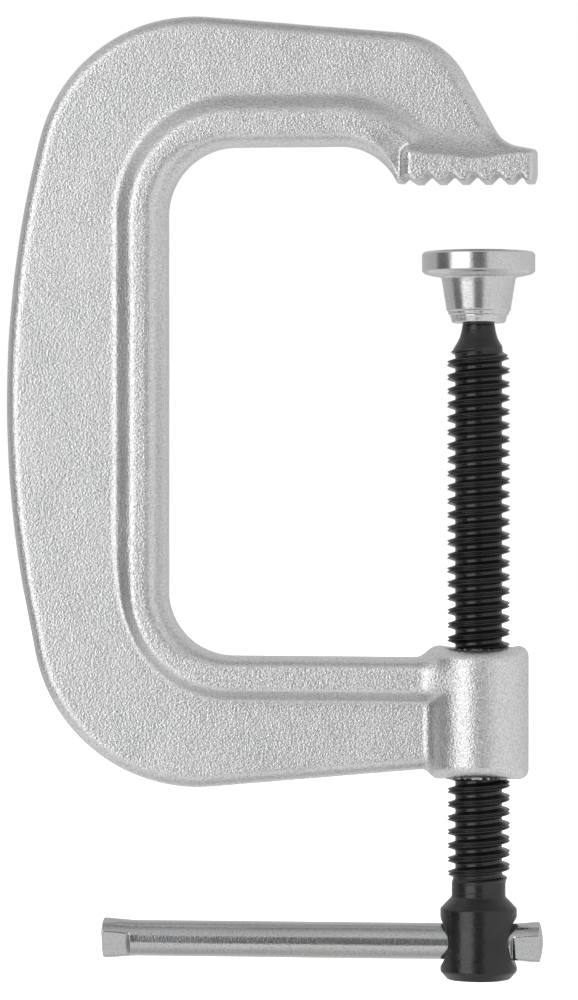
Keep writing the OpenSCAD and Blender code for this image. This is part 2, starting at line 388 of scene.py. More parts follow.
outer_poly, throat_poly, cut_poly = outline(OUTER), outline(THROAT), outline(CUT, 0.6)
BOX = (-150, 24, -182, 56)
f_out = Field(*BOX, 0.4, lambda x, z: signed_distance(outer_poly, x, z))
f_rib = Field(*BOX, 0.4, lambda x, z: signed_distance(throat_poly, x, z))
f_cut = Field(*BOX, 0.3, lambda x, z: signed_distance(cut_poly, x, z))


def half_height(x, z, u):
    """Half thickness of the forging over the parting plane."""
    end = smooth(-31, -22.5, x) * smooth(17, 6, z) * (z > -40)
    low = smooth(-105, -130, z)
    rib = (RIB - WEB) * (1 - smooth(9.0 + 0.3 * low, 16.2 - 2.5 * low, u)) * (1 - 0.55 * end)
    # the web swells towards the jaw's wide block
    edge = 7.9 - 1.5 * np.exp(-((x + 0.5) / 9.0) ** 2) + 0.6 * smooth(-14, -19, x)
    s = np.clip((edge + 10.8 - z) / 10.8, 0, 1)
    s = 1 - np.sqrt((1 - s) ** 2 + 0.0012) + 0.0346
    s = np.clip(s, 0, 1)
    flank = 1 - (1 - np.clip((x + 23.4) / 4.0, 0, 1)) ** 1.5
    jaw = (JAW - WEB) * s ** 2.1 * flank * (z > -30)
    k = 0.5
    hi = np.maximum(rib, jaw) + np.maximum(k - np.abs(rib - jaw), 0) ** 2 / (4 * k)
    return WEB + hi


def bore_field(x, y, z):
    """Internal thread of the boss: negative in the metal-free space."""
    rho = np.hypot(x, y)
    turn = np.arctan2(y, x) / (2 * math.pi)
    ph = ((z + 0.24) / PITCH - turn) % 1.0          # 0.5 is the groove's middle
    off = np.abs(ph - 0.5) * PITCH
    groove = 9.35 - np.clip((off - 0.95) / math.tan(15 * D2R), 0, 2.2)
    bore = rho - np.maximum(groove, 7.15)
    mouth = np.maximum(rho - 9.5 + (BOSS_TOP - 1.3 - z) * 0.9, BOSS_TOP - 3.4 - z)
    mouth2 = np.maximum(rho - 9.5 + (z - BOSS_BOT - 1.0) * 0.9, z - BOSS_BOT - 3.4)
    hollow = np.minimum(bore * 0.8, np.minimum(mouth, mouth2) * 0.75)
    return np.maximum(hollow, np.maximum(rho - 11.0, np.abs(z - BOSS_C) - BOSS_H - 2.5))


def forging(x, y, z, d_out, d_rib, d_cut, with_bore=True):
    ay = np.abs(y)
    h = half_height(x, z, d_rib)
    nose = smooth(-2, 12, x) * smooth(24, 14, z)
    jawzone = smooth(-28.5, -21.0, x) * smooth(-20, -10, z)
    spine = smooth(-78, -90, x)
    face = (ay - h) * 0.9
    r_out = 3.5 - 2.3 * nose
    side = d_out + 0.11 * ay
    body = round_max(face, side, r_out)
    run = (2.3 + 1.9 * spine) * (1 - jawzone) + 0.35 * jawzone
    t = np.clip(ay / RIB, 0, 1.15)
    wall = -d_cut + run * t ** 2.4
    heel = np.exp(-((x + 24.6) / 2.0) ** 2) * smooth(13, 7, z) * smooth(-20, -10, z)
    run = run + 3.2 * heel
    r_in = 1.35 * (1 - jawzone) + 0.45 * jawzone + 0.8 * heel
    body = round_max(body, wall * (1 - 0.12 * spine), r_in)
    rho = np.hypot(x, y)
    qa = rho - BOSS_R
    qb = np.abs(z - BOSS_C) + 0.11 * ay - BOSS_H
    boss = round_max(qa, qb, 3.0)
    collar = round_max(rho - 10.4, np.abs(z - BOSS_C) - BOSS_H - 0.5, 0.25)
    boss = round_min(boss, collar, 0.3)
    blend = 2.2 + 2.0 * (1 - smooth(8.0, 12.5, d_rib)) * smooth(-40, -120, z)
    both = round_min(body, boss, blend)
    if with_bore:
        both = round_max(both, -bore_field(x, y, z), 0.25)
    return both


def forging_at(p):
    x, y, z = p[:, 0], p[:, 1], p[:, 2]
    return forging(x, y, z, f_out(x, z), -f_rib(x, z) * -1, f_cut(x, z))


def spaced(stops):
    """Grid lines from (start, end, step) stretches."""
    out = []
    for a, b, s in stops:
        n = max(1, int(round((b - a) / s)))
        out += list(np.linspace(a, b, n, endpoint=False))
    out.append(stops[-1][1])
    return np.array(out)


CO, FI = 0.97, 0.55
xs = spaced([(-141, -26, CO), (-26, 19, FI)])
zs = spaced([(-177.6, -131, FI * 1.2), (-131, -4, CO), (-4, 12, FI), (12, 52, CO)])
ys = spaced([(0, 16, 0.64)])
ys = np.concatenate([-ys[::-1], ys[1:]]) + 0.0
gx, gz = np.meshgrid(xs, zs, indexing="ij")
# d_rib is positive in the metal, measured from the throat's edge
d2_out, d2_rib, d2_cut = f_out(gx, gz), f_rib(gx, gz), f_cut(gx, gz)
half = ys >= 0
F = np.empty((len(xs), len(ys), len(zs)), np.float32)
for j in np.nonzero(half)[0]:
    F[:, j, :] = forging(gx, np.full_like(gx, ys[j]), gz, d2_out, d2_rib, d2_cut, with_bore=False)
for j in np.nonzero(~half)[0]:
    F[:, j, :] = F[:, len(ys) - 1 - j, :]
bx, bz = xs > -13, (zs > -176) & (zs < -130)
sx, sz = xs[bx], zs[bz]
bi, bk = np.nonzero(bx)[0], np.nonzero(bz)[0]
X3, Y3, Z3 = np.meshgrid(sx, ys, sz, indexing="ij")
block = F[bi[0]:bi[-1] + 1, :, bk[0]:bk[-1] + 1]
F[bi[0]:bi[-1] + 1, :, bk[0]:bk[-1] + 1] = round_max(block, -bore_field(X3, Y3, Z3), 0.25)
print("field", round(time.time() - T0, 1))

verts, quads = surface_nets(F, xs, ys, zs)


def forging_p(p):
    x, y, z = p[:, 0], p[:, 1], p[:, 2]
    return forging(x, y, z, f_out(x, z), f_rib(x, z), f_cut(x, z))


verts, nrm = settle(forging_p, verts, quads, rounds=3, relax=0.4)
# hammer-scale unevenness of a forged skin
calm = smooth(10.5, 13, np.hypot(verts[:, 0], verts[:, 1])) + (verts[:, 2] > -130) + (verts[:, 2] < -176)
bump = 0.022 * waves(verts, 3, 16) + 0.008 * waves(verts, 4, 5)
verts = verts + nrm * (bump * np.clip(calm, 0, 1))[:, None]
box_mm = np.array(cad_box) * 1000.0
verts = np.clip(verts, box_mm[0], box_mm[1])
print("forging", len(verts), len(quads), round(time.time() - T0, 1))
forged = make_mesh("forged_frame", verts, quads)


# ------------------------------------------------------------ the spindle ----
CORE, MAJOR, BLANK = 6.8, 9.1, 7.85


def thread_profile(v, lip=0.0):
    """Radius over one pitch, v in mm from the root's middle; the crest has a rolling seam between two lips."""
    off = np.abs(((v + PITCH / 2) % PITCH) - PITCH / 2)      # 0 at the root, 2 at the crest's middle
    flank = CORE + np.clip((off - 0.62) / 0.68, 0, 1) * (MAJOR - 0.18 - CORE)
    root = CORE + 0.10 * np.clip(off / 0.62, 0, 1) ** 3
    lips = 0.18 * np.exp(-((off - 1.46) / 0.16) ** 2) - 0.42 * np.exp(-((off - 2.0) / 0.20) ** 2) * (1 + lip)
    return np.maximum(root, flank) + lips * smooth(1.1, 1.4, off)


def blank_radius(z):
    """The turned blank before its thread is rolled."""
    zz = np.array([-206.9, -52.0, -49.0, -47.1, -45.9, -44.8, -43.6, -42.4, -41.2, -40.0])
    rr = np.array([7.85, 7.85, 7.55, 6.83, 6.12, 5.56, 5.20, 4.93, 4.74, 4.65])
    return np.interp(z, zz, rr)


N_TURN = 54
OFFS = np.array([0.0, 0.35, 0.62, 0.80, 0.96, 1.12, 1.26, 1.38, 1.46, 1.56, 1.70, 1.84, 2.0])
PROF = np.concatenate([OFFS, (4.0 - OFFS[1:-1][::-1])])      # one pitch from root to root
Z_LOW, Z_HIGH = -208.0, -35.0
Z_PHASE = -204.24                                             # root's middle at angle 0
first = -4
steps = int(round((Z_HIGH - Z_PHASE) / PITCH * N_TURN))
i0 = int(math.floor((Z_LOW - Z_PHASE - PITCH) / PITCH * N_TURN))
rows = np.arange(i0, steps + 1)
ang = rows * 2 * math.pi / N_TURN
base = Z_PHASE + rows * PITCH / N_TURN
rng = np.random.default_rng(11)
knots = rng.normal(size=400)
wob = np.interp(rows / N_TURN * 3.1, np.arange(400) - 20, knots)
wob2 = np.interp(rows / N_TURN * 7.7, np.arange(400) - 20, rng.normal(size=400))
Zt = base[:, None] + PROF[None, :]
full = smooth(-203.4, -199.4, Zt) * smooth(-46.6, -51.6, Zt)
prof_r = thread_profile(PROF)[None, :] + np.zeros_like(Zt)
crest = np.exp(-((PROF - 1.46) / 0.3) ** 2)[None, :] * wob[:, None] + np.exp(-((PROF - 2.54) / 0.3) ** 2)[None, :] * wob2[:, None]
prof_r = prof_r + 0.035 * crest
Bl = blank_radius(Zt)
Rt = Bl + full * (prof_r - BLANK)
Rt = np.where(Zt > -53, np.minimum(Rt, Bl + full * 1.3), Rt)
TV = np.stack([Rt * np.cos(ang)[:, None], Rt * np.sin(ang)[:, None], Zt], 2).reshape(-1, 3)
K = len(PROF)
nrow = len(rows)


def tid(i, k):
    """Vertex of row i, profile point k; the profile's end is the next turn's start."""
    return np.where(k == K, (i + N_TURN) * K, i * K + k)


ii, kq = np.meshgrid(np.arange(nrow - 1 - N_TURN), np.arange(K), indexing="ij")
ii, kq = ii.ravel(), kq.ravel()
tq = np.stack([tid(ii, kq), tid(ii + 1, kq), tid(ii + 1, kq + 1), tid(ii, kq + 1)], 1)
me = bpy.data.meshes.new("tmp")
me.from_pydata([tuple(v) for v in TV], [], [tuple(int(a) for a in q) for q in tq])
bm = bmesh.new()
bm.from_mesh(me)
bmesh.ops.delete(bm, geom=[v for v in bm.verts if not v.link_faces], context="VERTS")
# square ends, closed by a fan
for co, no in (((0, 0, -205.6), (0, 0, -1)), ((0, 0, -41.0), (0, 0, 1))):
    geom = bm.verts[:] + bm.edges[:] + bm.faces[:]
    bmesh.ops.bisect_plane(bm, geom=geom, plane_co=co, plane_no=no, clear_outer=True, dist=1e-4)
bmesh.ops.remove_doubles(bm, verts=bm.verts[:], dist=1e-3)


def close_end(bm, level, inner):
    """Closes the open loop at a level with rings of smaller radius (radius, z), then a fan."""
    loop = [e for e in bm.edges if e.is_boundary and abs(e.verts[0].co.z - level) < 1e-2 and abs(e.verts[1].co.z - level) < 1e-2]
    ring = list({v for e in loop for v in e.verts})
    ring.sort(key=lambda v: math.atan2(v.co.y, v.co.x))
    up = level > -100
    for r, z in inner:
        new = [bm.verts.new((v.co.x / math.hypot(v.co.x, v.co.y) * r, v.co.y / math.hypot(v.co.x, v.co.y) * r, z)) for v in ring]
        for j in range(len(ring)):
            k = (j + 1) % len(ring)
            q = (ring[j], ring[k], new[k], new[j])
            bm.faces.new(q if up else q[::-1])
        ring = new
    mid = bm.verts.new((0, 0, inner[-1][1]))
    for j in range(len(ring)):
        k = (j + 1) % len(ring)
        t = (ring[j], ring[k], mid)
        bm.faces.new(t if up else t[::-1])


close_end(bm, -205.6, [(7.4, -206.1), (6.9, -208.5)])
close_end(bm, -41.0, [(4.2, -41.0)])
bm.verts.ensure_lookup_table()
thread_v = [tuple(v.co) for v in bm.verts]
bm.verts.index_update()
thread_f = [tuple(v.index for v in f.verts) for f in bm.faces]
bm.free()
bpy.data.meshes.remove(me)

# the hub: turned end with a cross hole whose mouths are broken round
HOLE_Z, HOLE_R, HUB_R, HUB_LOW = -220.1, 5.38, 11.15, -231.0


def hub_field(p):
    x, y, z = p[:, 0], p[:, 1], p[:, 2]
    rho = np.hypot(x, y)
    shank = rho - BLANK
    cone = (rho - BLANK + (z + 206.9) * 0.943) * 0.7275
    barrel = rho - HUB_R
    low = (rho - 9.05 - (z - HUB_LOW) * 0.875) * 0.7526
    head = round_max(round_max(cone, barrel, 0.2), low, 0.25)
    head = round_max(head, HUB_LOW + 0.02 - z, 0.35)
    solid = np.maximum(round_min(np.maximum(shank, -230.0 - z), head, 0.2), z + 205.55)
    hole = HOLE_R - np.hypot(y, z - HOLE_Z)
    bevel = (solid + hole + 1.75) * 0.7071
    return round_max(round_max(solid, hole, 0.2), bevel, 0.25)


hs = np.linspace(-11.7, 11.7, 72)
hz = np.concatenate([np.linspace(-231.6, -205.8, 80), [-205.55 - 0.02, -205.3]])
HX, HY, HZ = np.meshgrid(hs, hs, hz, indexing="ij")
HF = hub_field(np.stack([HX.ravel(), HY.ravel(), HZ.ravel()], 1)).reshape(HX.shape)
hv, hq = surface_nets(HF, hs, hs, hz)
hv, hn = settle(hub_field, hv, hq, rounds=3, relax=0.4)
low_skin = smooth(-206.5, -207.5, hv[:, 2])
hv = hv + hn * ((0.025 * waves(hv, 8, 6) + 0.012 * waves(hv, 9, 2.2)) * low_skin)[:, None]
hv = np.clip(hv, box_mm[0], box_mm[1])
nthr = len(thread_v)
all_v = np.concatenate([np.array(thread_v), hv])
all_f = thread_f + [tuple(int(a) + nthr for a in q) for q in hq]
spindle = make_mesh("rolled_spindle", all_v, all_f)
print("spindle", len(all_f), round(time.time() - T0, 1))

# the ball end, riveted into the pad, and the neck's last millimetres
prof = [(0.0, -40.98), (4.3, -40.98), (4.65, -40.9)]
prof += [(4.62, -40.0)]
for a in np.linspace(-46, 90, 26):
    prof.append((6.2 * math.cos(a * D2R), -33.8 + 6.2 * math.sin(a * D2R)))
prof[-1] = (0.0, -27.6)
bv, bf = lathe("ball", prof, 96)
ball = make_mesh("ball_stud", bv, bf)

# -------------------------------------------------------------- the pad ----
corner = [(0.0, -27.0, 0), (5.4, -27.2, 1.5), (6.3, -33.8, 3.0), (5.55, -38.6, 1.2), (5.55, -40.05, 0.2), (5.9, -40.38, 0.15),
          (7.0, -40.4, 0.3), (7.75, -40.3, 0.45), (8.05, -39.1, 0.5), (8.25, -38.45, 0.25), (8.2, -38.2, 0.15),
          (8.75, -38.0, 0.3), (8.95, -37.0, 0.45), (9.3, -36.85, 0.25), (10.62, -28.6, 0.8), (10.85, -27.35, 0.5),
          (11.6, -27.05, 0.45), (13.6, -26.7, 2.0), (15.6, -26.2, 0.45), (16.46, -25.45, 0.45), (16.48, -20.5, 0.7),
          (15.8, -19.81, 0.5), (12.0, -19.82, 0.8), (11.2, -19.98, 0.8), (4.0, -20.05, 1.0), (2.0, -20.4, 1.0), (0.0, -20.5, 0)]
prof = densify(fillet_profile(corner, 0.09), 0.55)
prof[0], prof[-1] = np.array([0.0, prof[0][1]]), np.array([0.0, prof[-1][1]])
pv, pf = lathe("pad", prof, 200)
pv = np.array(pv)
rr = np.hypot(pv[:, 0], pv[:, 1])
outer_skin = smooth(7.0, 7.6, rr)
band = np.exp(-((pv[:, 2] + 38.9) / 1.3) ** 2)
th = np.arctan2(pv[:, 1], pv[:, 0])
crimp = band * (0.05 * np.sin(9 * th + 0.7) + 0.04 * np.sin(23 * th + 2.0) + 0.05 * np.sin(4 * th)) * outer_skin
turn = 0.004 * np.sin(pv[:, 2] * 2 * math.pi / 1.1) * outer_skin * smooth(-37.2, -36, pv[:, 2])
k = 1 + (crimp + turn - 0.03 * outer_skin) / np.maximum(rr, 1)
pv[:, 0] *= k
pv[:, 1] *= k
pad = make_mesh("turned_pad", pv, pf)

# ----------------------------------------------------------- the tommy bar ----
BAR_R, X_L, X_R = 5.28, -110.5, 18.7
TILT = -20 * D2R                         # the swaging flats face a little down


def bar_radius(s, phi, seed):
    """Polar radius at s mm from an end; phi is measured from straight out to the front, upwards positive."""
    flare = 1 - smooth(0.5, 11.2, s)
    r = BAR_R + 0.60 * flare ** 1.2
    on = 1 - smooth(7.9 + 0.1 * math.sin(seed), 8.75, s)
    out = r
    for d, lim, shift in ((0.0, 4.25, 1.7), (math.pi, 4.3, 1.7), (math.pi / 2, 5.62, 0.5), (-math.pi / 2, 5.62, 0.5)):
        c = np.cos(phi - TILT - d)
        plane = lim + shift * (1 - on) - (0.22 * math.exp(-((s - 7.75) / 0.4) ** 2) if lim < 5 else 0.0)
        cut = np.where(c > 0.2, plane / np.maximum(c, 0.2), 99)
        kk = 0.12
        h = np.clip(0.5 + 0.5 * (cut - out) / kk, 0, 1)
        out = cut * (1 - h) + out * h - kk * h * (1 - h)
    return out


s_end = np.array([0.0, 0.06, 0.2, 0.42, 0.75, 1.2, 2.0, 3.0, 4.0, 5.0, 6.0, 6.8, 7.3, 7.55, 7.75, 7.95, 8.1, 8.25, 8.4, 8.55, 8.7, 8.85, 9.05, 9.3, 9.8, 10.5, 11.3, 12.2])
DOME_L, DOME_R = 0.5, 0.85
stations = [(X_L + DOME_L + s, s, 0.3) for s in s_end]
inner = np.linspace(X_L + 13.0, X_R - 13.0, 90)
stations += [(x, 99.0, 0.0) for x in inner]
stations += [(X_R - DOME_R - s, s, 1.1) for s in s_end[::-1]]
NA = 144
phi = np.arange(NA) * 2 * math.pi / NA
rows3 = []
for x, s, seed in stations:
    rad = bar_radius(min(s, 20.0), phi, seed) if s < 50 else np.full(NA, BAR_R)
    rim = 0.35
    back = 0.0 if s >= rim else rim - math.sqrt(max(rim * rim - (rim - s) ** 2, 0))
    rad = rad - back
    # rolled stock is not quite true
    sway = 0.03 * np.sin(phi * 2 + x * 0.05) + 0.02 * np.sin(phi * 3 - x * 0.11 + 1)
    rad = rad + sway * (0.0 if s < 3 else 1.0) * 0.8 - 0.03
    rows3.append(np.stack([np.full(NA, x), -rad * np.cos(phi), HOLE_Z + rad * np.sin(phi)], 1))
hv3 = list(np.concatenate(rows3))
hf3 = []
for a in range(len(rows3) - 1):
    for j in range(NA):
        k = (j + 1) % NA
        hf3.append((a * NA + j, a * NA + k, (a + 1) * NA + k, (a + 1) * NA + j))


def end_cap(row, x, bulge, flip):
    """Slightly crowned sheared end."""
    start = row * NA
    ringp = np.array(hv3[start:start + NA])
    prev = list(range(start, start + NA))
    for f in (0.96, 0.88, 0.76, 0.6, 0.4, 0.2):
        pts = ringp.copy()
        pts[:, 1] *= f
        pts[:, 2] = HOLE_Z + (pts[:, 2] - HOLE_Z) * f
        pts[:, 0] = x - bulge * f * f
        cur = list(range(len(hv3), len(hv3) + NA))
        hv3.extend(pts)
        for j in range(NA):
            k = (j + 1) % NA
            q = (prev[j], prev[k], cur[k], cur[j])
            hf3.append(q[::-1] if flip else q)
        prev = cur
    hv3.append(np.array([x, 0.0, HOLE_Z]))
    m = len(hv3) - 1
    for j in range(NA):
        k = (j + 1) % NA
        t = (prev[j], prev[k], m)
        hf3.append(t[::-1] if flip else t)


end_cap(0, X_L, -DOME_L, True)
end_cap(len(rows3) - 1, X_R, DOME_R, False)
bar = make_mesh("swaged_bar", np.array(hv3), hf3)


def outward(ob):
    b = bmesh.new()
    b.from_mesh(ob.data)
    bmesh.ops.recalc_face_normals(b, faces=b.faces[:])
    b.to_mesh(ob.data)
    b.free()


for ob in (forged, spindle, ball, pad, bar):
    outward(ob)


# ------------------------------------------------------------- materials ----
class Nodes:
    def __init__(self, name):
        self.mat = bpy.data.materials.new(name)
        self.mat.use_nodes = True
        self.t = self.mat.node_tree
        self.b = self.t.nodes["Principled BSDF"]
        self.co = self.t.nodes.new("ShaderNodeTexCoord").outputs["Object"]

    def link(self, a, b):
        self.t.links.new(a, b)

    def scaled(self, sx, sy, sz):
        m = self.t.nodes.new("ShaderNodeMapping")
        m.inputs["Scale"].default_value = (sx, sy, sz)
        self.link(self.co, m.inputs["Vector"])
        return m.outputs["Vector"]

    def noise(self, scale, detail=3.0, rough=0.55, vec=None):
        n = self.t.nodes.new("ShaderNodeTexNoise")
        n.inputs["Scale"].default_value = scale
        n.inputs["Detail"].default_value = detail
        n.inputs["Roughness"].default_value = rough
        self.link(vec or self.co, n.inputs["Vector"])
        return n.outputs["Fac"]

    def cells(self, scale, vec=None, out="Distance"):
        n = self.t.nodes.new("ShaderNodeTexVoronoi")
        n.inputs["Scale"].default_value = scale
        self.link(vec or self.co, n.inputs["Vector"])
        return n.outputs[out]

    def ramp(self, fac, stops):
        n = self.t.nodes.new("ShaderNodeValToRGB")
        e = n.color_ramp.elements
        while len(e) < len(stops):
            e.new(0.5)
        for el, (pos, v) in zip(e, stops):
            el.position = pos
            el.color = (v, v, v, 1) if isinstance(v, (int, float)) else (*v, 1)
        self.link(fac, n.inputs["Fac"])
        return n.outputs["Color"]

    def fit(self, v, a, b, c, d):
        n = self.t.nodes.new("ShaderNodeMapRange")
        for name, val in (("From Min", a), ("From Max", b), ("To Min", c), ("To Max", d)):
            n.inputs[name].default_value = val
        self.link(v, n.inputs["Value"])
        return n.outputs["Result"]

    def maths(self, op, a, b=None, clamp=False):
        n = self.t.nodes.new("ShaderNodeMath")
        n.operation = op
        n.use_clamp = clamp
        for i, v in enumerate((a, b)):
            if v is None:
                continue
            if isinstance(v, (int, float)):
                n.inputs[i].default_value = v
            else:
                self.link(v, n.inputs[i])
        return n.outputs["Value"]

    def mix(self, fac, a, b, blend="MIX"):
        n = self.t.nodes.new("ShaderNodeMix")
        n.data_type = "RGBA"
        n.blend_type = blend
        for sock, v in ((n.inputs["Factor"], fac), (n.inputs["A"], a), (n.inputs["B"], b)):
            pass
        rgba = [s for s in n.inputs if s.type == "RGBA"]
        fsock = n.inputs[0]
        for sock, v in ((fsock, fac), (rgba[0], a), (rgba[1], b)):
            if isinstance(v, (int, float)) and sock.type == "VALUE":
                sock.default_value = v
            elif isinstance(v, tuple):
                sock.default_value = (*v, 1)
            else:
                self.link(v, sock)
        return [s for s in n.outputs if s.type == "RGBA"][0]

    def bump(self, height, dist, strength=1.0, normal=None):
        n = self.t.nodes.new("ShaderNodeBump")
        n.inputs["Distance"].default_value = dist
        n.inputs["Strength"].default_value = strength
        self.link(height, n.inputs["Height"])
        if normal is not None:
            self.link(normal, n.inputs["Normal"])
        return n.outputs["Normal"]


def worn_edges(m, low=0.52, high=0.60):
    g = m.t.nodes.new("ShaderNodeNewGeometry")
    return m.fit(g.outputs["Pointiness"], low, high, 0.0, 1.0)


def zinc_forging():
    """Bright zinc over a blasted steel forging: fine sparkle grain, faint clouding, rubbed edges, painted shade in
    hollows.
    """
    m = Nodes("zinc_forging")
    cloud = m.noise(38, 4, 0.6)
    grain = m.noise(1900, 2, 0.6)
    col = m.ramp(cloud, [(0.30, (0.83, 0.835, 0.84)), (0.70, (0.88, 0.88, 0.877))])
    spark = m.ramp(grain, [(0.34, 0.74), (0.5, 0.98), (0.66, 1.10)])
    col = m.mix(1.0, col, spark, "MULTIPLY")
    # painted shade: the base colour is darkened where the surface is hollow (rib steps, the jaw's inner corner, round
    # the boss)
    painted_shade_ao = m.t.nodes.new("ShaderNodeAmbientOcclusion")
    painted_shade_ao.samples = 6
    painted_shade_ao.only_local = True
    painted_shade_ao.inputs["Distance"].default_value = 0.005
    col = m.mix(1.0, col, m.ramp(painted_shade_ao.outputs["AO"], [(0.40, 0.28), (0.68, 0.62), (0.92, 1.0)]), "MULTIPLY")
    pits = m.ramp(m.cells(300), [(0.04, 0.6), (0.12, 1.0)])
    gate = m.ramp(m.noise(60, 2), [(0.60, 0.0), (0.70, 1.0)])
    col = m.mix(gate, col, m.mix(1.0, col, pits, "MULTIPLY"))
    m.link(col, m.b.inputs["Base Color"])
    m.b.inputs["Metallic"].default_value = 1.0
    rough = m.fit(cloud, 0.3, 0.7, 0.29, 0.35)
    rough = m.maths("SUBTRACT", rough, m.maths("MULTIPLY", worn_edges(m), 0.07))
    m.link(rough, m.b.inputs["Roughness"])
    n = m.bump(m.noise(2200, 2, 0.55), 0.00013, 1.0)
    n = m.bump(m.noise(1350, 1, 0.5), 0.00012, 1.0, n)
    m.link(n, m.b.inputs["Normal"])
    return m.mat


def black_oxide():
    """Oiled black oxide on a rolled screw."""
    m = Nodes("black_oxide")
    cloud = m.noise(90, 4, 0.6)
    streak = m.noise(60, 3, 0.6, m.scaled(1, 1, 22))
    col = m.ramp(cloud, [(0.3, (0.010, 0.010, 0.0105)), (0.7, (0.021, 0.0205, 0.020))])
    edge = worn_edges(m, 0.53, 0.64)
    rub = m.maths("MULTIPLY", edge, m.fit(m.noise(420, 3), 0.42, 0.62, 0.0, 0.5))
    col = m.mix(rub, col, (0.085, 0.083, 0.08))
    m.link(col, m.b.inputs["Base Color"])
    m.b.inputs["Metallic"].default_value = 0.35
    m.b.inputs["Specular IOR Level"].default_value = 0.82
    rough = m.fit(streak, 0.3, 0.7, 0.13, 0.29)
    m.link(rough, m.b.inputs["Roughness"])
    n = m.bump(m.noise(1700, 2), 0.00007, 0.7)
    n = m.bump(streak, 0.00003, 0.6, n)
    m.link(n, m.b.inputs["Normal"])
    return m.mat


def zinc_turned():
    """Zinc over a turned steel pad, fine tool marks running round it."""
    m = Nodes("zinc_turned")
    rings = m.noise(300, 3, 0.65, m.scaled(0.02, 0.02, 4.2))
    cloud = m.noise(110, 3, 0.6)
    grain = m.noise(2200, 2, 0.6)
    col = m.ramp(cloud, [(0.3, (0.74, 0.745, 0.75)), (0.7, (0.80, 0.80, 0.80))])
    col = m.mix(1.0, col, m.ramp(grain, [(0.34, 0.82), (0.55, 1.0)]), "MULTIPLY")
    dots = m.ramp(m.cells(420), [(0.05, 0.6), (0.14, 1.0)])
    gate = m.ramp(m.noise(150, 2), [(0.60, 0.0), (0.68, 1.0)])
    col = m.mix(gate, col, m.mix(1.0, col, dots, "MULTIPLY"))
    m.link(col, m.b.inputs["Base Color"])
    m.b.inputs["Metallic"].default_value = 1.0
    rough = m.fit(cloud, 0.3, 0.7, 0.17, 0.24)
    m.link(rough, m.b.inputs["Roughness"])
    n = m.bump(rings, 0.00001, 0.5)
    n = m.bump(grain, 0.00004, 0.6, n)
    m.link(n, m.b.inputs["Normal"])
    return m.mat


def zinc_bar():
    """Zinc over drawn bar: long dull streaks, fine speckle, a trace of passivation colour, painted shade in the
    swaging steps.
    """
    m = Nodes("zinc_bar")
    streak = m.noise(420, 4, 0.65, m.scaled(0.05, 1, 1))
    speck = m.noise(2200, 2, 0.6)
    cloud = m.noise(55, 3, 0.6)
    col = m.ramp(streak, [(0.25, (0.60, 0.605, 0.61)), (0.72, (0.70, 0.70, 0.695))])
    # painted shade: the base colour is darkened strongly in the hollow crescents where the swaged flats step down
    painted_shade_ao = m.t.nodes.new("ShaderNodeAmbientOcclusion")
    painted_shade_ao.samples = 6
    painted_shade_ao.only_local = True
    painted_shade_ao.inputs["Distance"].default_value = 0.0016
    col = m.mix(1.0, col, m.ramp(painted_shade_ao.outputs["AO"], [(0.55, 0.10), (0.80, 0.45), (0.95, 1.0)]), "MULTIPLY")
    tint = m.ramp(cloud, [(0.32, (0.975, 0.99, 1.02)), (0.5, (1.0, 1.0, 1.0)), (0.68, (1.02, 1.0, 0.97))])
    col = m.mix(1.0, col, tint, "MULTIPLY")
    col = m.mix(1.0, col, m.ramp(speck, [(0.34, 0.78), (0.50, 1.0)]), "MULTIPLY")
    m.link(col, m.b.inputs["Base Color"])
    m.b.inputs["Metallic"].default_value = 1.0
    rough = m.fit(streak, 0.3, 0.7, 0.10, 0.16)
    m.link(rough, m.b.inputs["Roughness"])
    n = m.bump(streak, 0.00002, 0.5)
    n = m.bump(speck, 0.00005, 0.8, n)
    m.link(n, m.b.inputs["Normal"])
    return m.mat


black = black_oxide()
for ob, mat, body, node, slot in ((forged, zinc_forging(), "frame", "frame", "zinc_forging"),
                                  (spindle, black, "spindle", "spindle", "black_oxide"),
                                  (ball, black, "ball", "ball_end", "black_oxide"),
                                  (pad, zinc_turned(), "pad", "swivel_pad", "zinc_turned"),
                                  (bar, zinc_bar(), "handle", "slide_handle", "zinc_bar")):
    ob.data.materials.clear()
    ob.data.materials.append(mat)
    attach(ob, body)
    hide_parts(node)


# ------------------------------------------------------- floor and lights ----
def floor_material():
    m = Nodes("pale_floor")
    col = m.ramp(m.noise(3, 3), [(0.3, (0.88, 0.88, 0.88)), (0.7, (0.93, 0.93, 0.93))])
    m.link(col, m.b.inputs["Base Color"])
    m.b.inputs["Roughness"].default_value = 0.9
    m.b.inputs["Specular IOR Level"].default_value = 0.0
    m.b.inputs["Emission Color"].default_value = (1, 1, 1, 1)
    m.b.inputs["Emission Strength"].default_value = 0.95
    # only its upper face shows, so the clamp can be looked at from below
    nt = m.mat.node_tree
    geo = nt.nodes.new("ShaderNodeNewGeometry")
    clear = nt.nodes.new("ShaderNodeBsdfTransparent")
    mix = nt.nodes.new("ShaderNodeMixShader")
    out = next(n for n in nt.nodes if n.type == "OUTPUT_MATERIAL")
    nt.links.new(geo.outputs["Backfacing"], mix.inputs[0])
    nt.links.new(m.b.outputs[0], mix.inputs[1])
    nt.links.new(clear.outputs[0], mix.inputs[2])
    nt.links.new(mix.outputs[0], out.inputs["Surface"])
    return m.mat


R, FLOOR_Z = 9.0, -0.3262  # clear of the handle when the spindle is screwed all the way out
fv = [(0, 0, FLOOR_Z)] + [(R * math.cos(a), R * math.sin(a), FLOOR_Z) for a in np.linspace(0, 2 * math.pi, 64, endpoint=False)]
floor_me = bpy.data.meshes.new("floor")
floor_me.from_pydata(fv, [], [(0, 1 + j, 1 + (j + 1) % 64) for j in range(64)])
floor = bpy.data.objects.new("floor", floor_me)
floor.data.materials.append(floor_material())
bpy.context.scene.collection.objects.link(floor)
floor.visible_glossy = False

world = bpy.data.worlds.new("studio")
world.use_nodes = True
bpy.context.scene.world = world
wt = world.node_tree
bg = wt.nodes["Background"]


